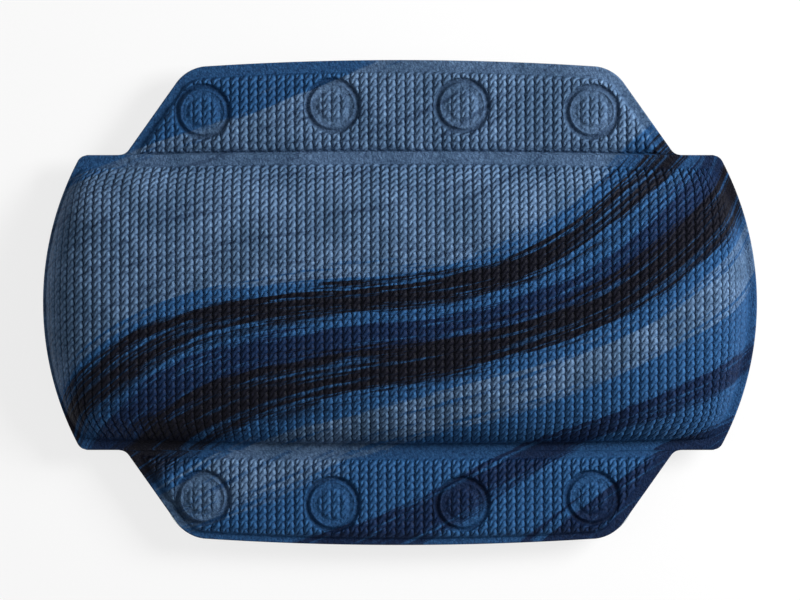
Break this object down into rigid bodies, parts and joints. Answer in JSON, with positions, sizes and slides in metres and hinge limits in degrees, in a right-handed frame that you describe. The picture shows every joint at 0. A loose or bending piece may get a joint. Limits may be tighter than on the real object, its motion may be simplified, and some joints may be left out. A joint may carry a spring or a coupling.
{
  "type": "bath pillow",
  "caption": "Padded head rest for a bath, with a crowned embossed body between two folding flaps that carry suction cups on their backs.",
  "frame": {"origin": "middle of the outline, on the plane that the suction cups and the flat of the back stand on", "axes": "+X along the pillow's length, +Y across it towards the top flap, +Z out of the padded front"},
  "size_m": [0.32, 0.2174, 0.0382],
  "materials": {
    "printed_foam_sheet": "matte",
    "dark_backing_sheet": "matte",
    "foam_filling": "matte",
    "clear_soft_pvc": "gloss"
  },
  "bodies": {
    "cushion": {"body_front_cover": "printed_foam_sheet", "body_back_cover": "dark_backing_sheet", "body_foam_core": "foam_filling"},
    "top_flap": {"top_flap_front_cover": "printed_foam_sheet", "top_flap_back_cover": "dark_backing_sheet", "top_flap_wadding": "foam_filling"},
    "top_cup_1": {"top_suction_cup_1": "clear_soft_pvc"},
    "top_cup_2": {"top_suction_cup_2": "clear_soft_pvc"},
    "top_cup_3": {"top_suction_cup_3": "clear_soft_pvc"},
    "top_cup_4": {"top_suction_cup_4": "clear_soft_pvc"},
    "bottom_flap": {"bottom_flap_front_cover": "printed_foam_sheet", "bottom_flap_back_cover": "dark_backing_sheet", "bottom_flap_wadding": "foam_filling"},
    "bottom_cup_1": {"bottom_suction_cup_1": "clear_soft_pvc"},
    "bottom_cup_2": {"bottom_suction_cup_2": "clear_soft_pvc"},
    "bottom_cup_3": {"bottom_suction_cup_3": "clear_soft_pvc"},
    "bottom_cup_4": {"bottom_suction_cup_4": "clear_soft_pvc"}
  },
  "joints": [
    {"name": "top_flap_fold", "type": "hinge", "parent": "cushion", "child": "top_flap", "pos_m": [0, 0.0661, 0.013], "axis": [1, 0, 0], "range_deg": [-45, 75], "stiffness_Nm_per_rad": 0.25},
    {"name": "top_cup_1_press", "type": "slide", "parent": "top_flap", "child": "top_cup_1", "axis": [0, 0, 1], "range_m": [0, 0.004], "stiffness_N_per_m": 2500, "deforming": ["top_suction_cup_1"]},
    {"name": "top_cup_2_press", "type": "slide", "parent": "top_flap", "child": "top_cup_2", "axis": [0, 0, 1], "range_m": [0, 0.004], "stiffness_N_per_m": 2500, "deforming": ["top_suction_cup_2"]},
    {"name": "top_cup_3_press", "type": "slide", "parent": "top_flap", "child": "top_cup_3", "axis": [0, 0, 1], "range_m": [0, 0.004], "stiffness_N_per_m": 2500, "deforming": ["top_suction_cup_3"]},
    {"name": "top_cup_4_press", "type": "slide", "parent": "top_flap", "child": "top_cup_4", "axis": [0, 0, 1], "range_m": [0, 0.004], "stiffness_N_per_m": 2500, "deforming": ["top_suction_cup_4"]},
    {"name": "bottom_flap_fold", "type": "hinge", "parent": "cushion", "child": "bottom_flap", "pos_m": [0, -0.0661, 0.013], "axis": [-1, 0, 0], "range_deg": [-45, 75], "stiffness_Nm_per_rad": 0.25},
    {"name": "bottom_cup_1_press", "type": "slide", "parent": "bottom_flap", "child": "bottom_cup_1", "axis": [0, 0, 1], "range_m": [0, 0.004], "stiffness_N_per_m": 2500, "deforming": ["bottom_suction_cup_1"]},
    {"name": "bottom_cup_2_press", "type": "slide", "parent": "bottom_flap", "child": "bottom_cup_2", "axis": [0, 0, 1], "range_m": [0, 0.004], "stiffness_N_per_m": 2500, "deforming": ["bottom_suction_cup_2"]},
    {"name": "bottom_cup_3_press", "type": "slide", "parent": "bottom_flap", "child": "bottom_cup_3", "axis": [0, 0, 1], "range_m": [0, 0.004], "stiffness_N_per_m": 2500, "deforming": ["bottom_suction_cup_3"]},
    {"name": "bottom_cup_4_press", "type": "slide", "parent": "bottom_flap", "child": "bottom_cup_4", "axis": [0, 0, 1], "range_m": [0, 0.004], "stiffness_N_per_m": 2500, "deforming": ["bottom_suction_cup_4"]}
  ]
}
